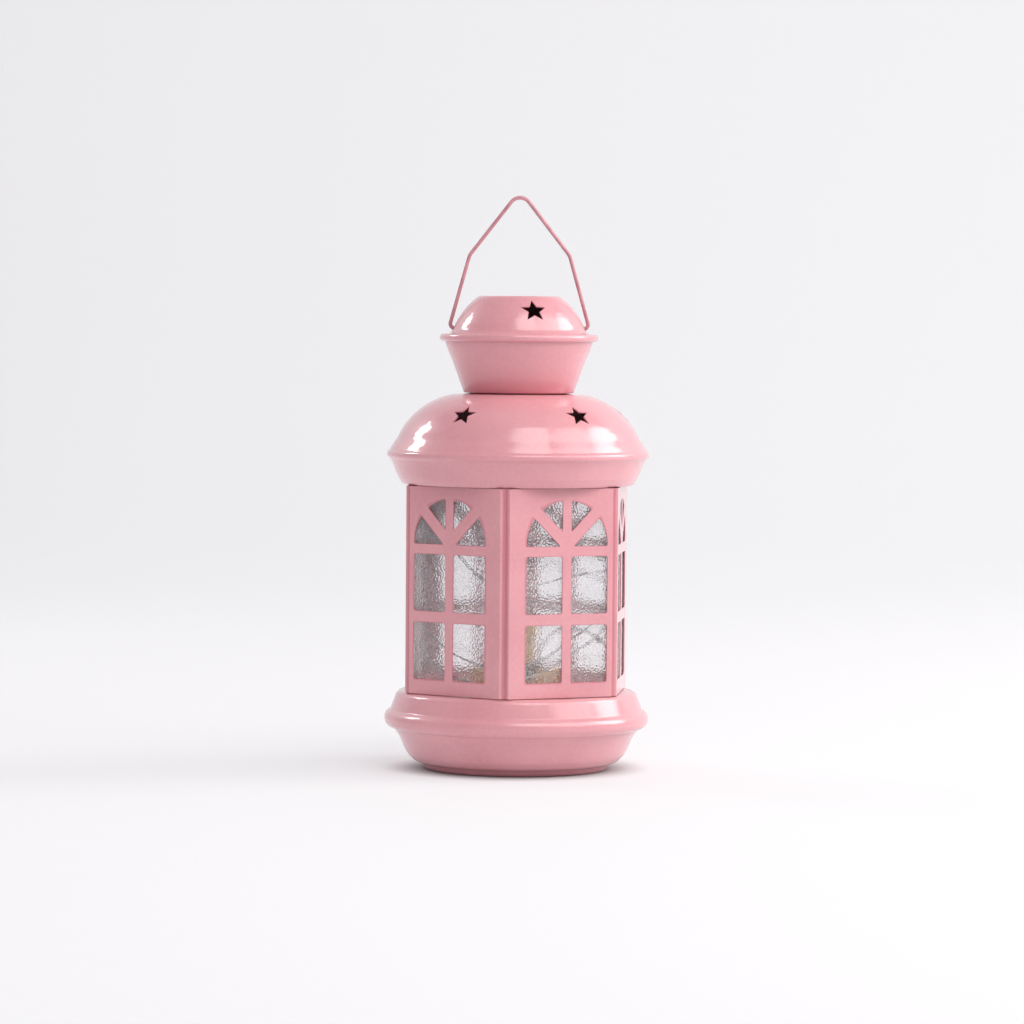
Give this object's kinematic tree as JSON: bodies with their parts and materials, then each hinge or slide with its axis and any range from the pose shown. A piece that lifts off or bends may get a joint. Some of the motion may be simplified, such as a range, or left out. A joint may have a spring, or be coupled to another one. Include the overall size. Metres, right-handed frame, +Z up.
{
  "type": "candle lantern",
  "caption": "Six-sided pressed-tin lantern on a round base with arched pebbled-glass windows, a domed roof with punched stars, a capped chimney and a wire bail handle; a light string inside.",
  "frame": {"origin": "centre of the foot, on the surface that the lantern stands on", "axes": "+Z up the lantern's centre line, -Y the side seen in front, and the handle's hinge axis along X"},
  "size_m": [0.1178, 0.1178, 0.2544],
  "materials": {
    "pink_enamel": "glossy pink enamel on pressed tin",
    "pebbled_glass": "clear rolled glass with a pebbled face",
    "brass_tin": "satin",
    "cork_shell": "matt, moulded to look like cork",
    "dark_plastic": "matt",
    "white_plastic": "gloss",
    "cell_steel": "bright nickel plate",
    "silver_wire": "lacquered twin wire",
    "clear_resin": "clear resin drop"
  },
  "bodies": {
    "base": {"base_bowl": "pink_enamel", "base_deck": "pink_enamel", "candle_cup": "brass_tin", "cup_rivet": "brass_tin", "battery_barrel": "cork_shell", "battery_cap": "dark_plastic", "lead_grommet": "dark_plastic", "button_cell_1": "cell_steel", "button_cell_2": "cell_steel", "button_cell_3": "cell_steel", "light_cord": "silver_wire", "light_01": "clear_resin", "light_02": "clear_resin", "light_03": "clear_resin", "light_04": "clear_resin", "light_05": "clear_resin", "light_06": "clear_resin", "light_07": "clear_resin", "light_08": "clear_resin", "light_09": "clear_resin", "light_10": "clear_resin"},
    "housing": {"wall_front": "pink_enamel", "wall_right": "pink_enamel", "wall_left": "pink_enamel", "glass_pane_1": "pebbled_glass", "glass_pane_2": "pebbled_glass", "glass_pane_3": "pebbled_glass", "glass_pane_4": "pebbled_glass", "glass_pane_5": "pebbled_glass", "glass_pane_6": "pebbled_glass", "sill_frame": "pink_enamel", "head_frame": "pink_enamel", "roof_dome": "pink_enamel", "chimney_cone": "pink_enamel", "cap_dome": "pink_enamel"},
    "bail": {"handle": "pink_enamel"},
    "switch": {"power_switch": "white_plastic"}
  },
  "joints": [
    {"name": "housing_lift", "type": "slide", "parent": "base", "child": "housing", "axis": [0, 0, 1], "range_m": [0, 0.12]},
    {"name": "handle_swing", "type": "hinge", "parent": "housing", "child": "bail", "pos_m": [0, 0, 0.1956], "axis": [1, 0, 0], "range_deg": [-80, 80]},
    {"name": "switch_slide", "type": "slide", "parent": "base", "child": "switch", "axis": [1, 0, 0], "range_m": [0, 0.0045]}
  ]
}
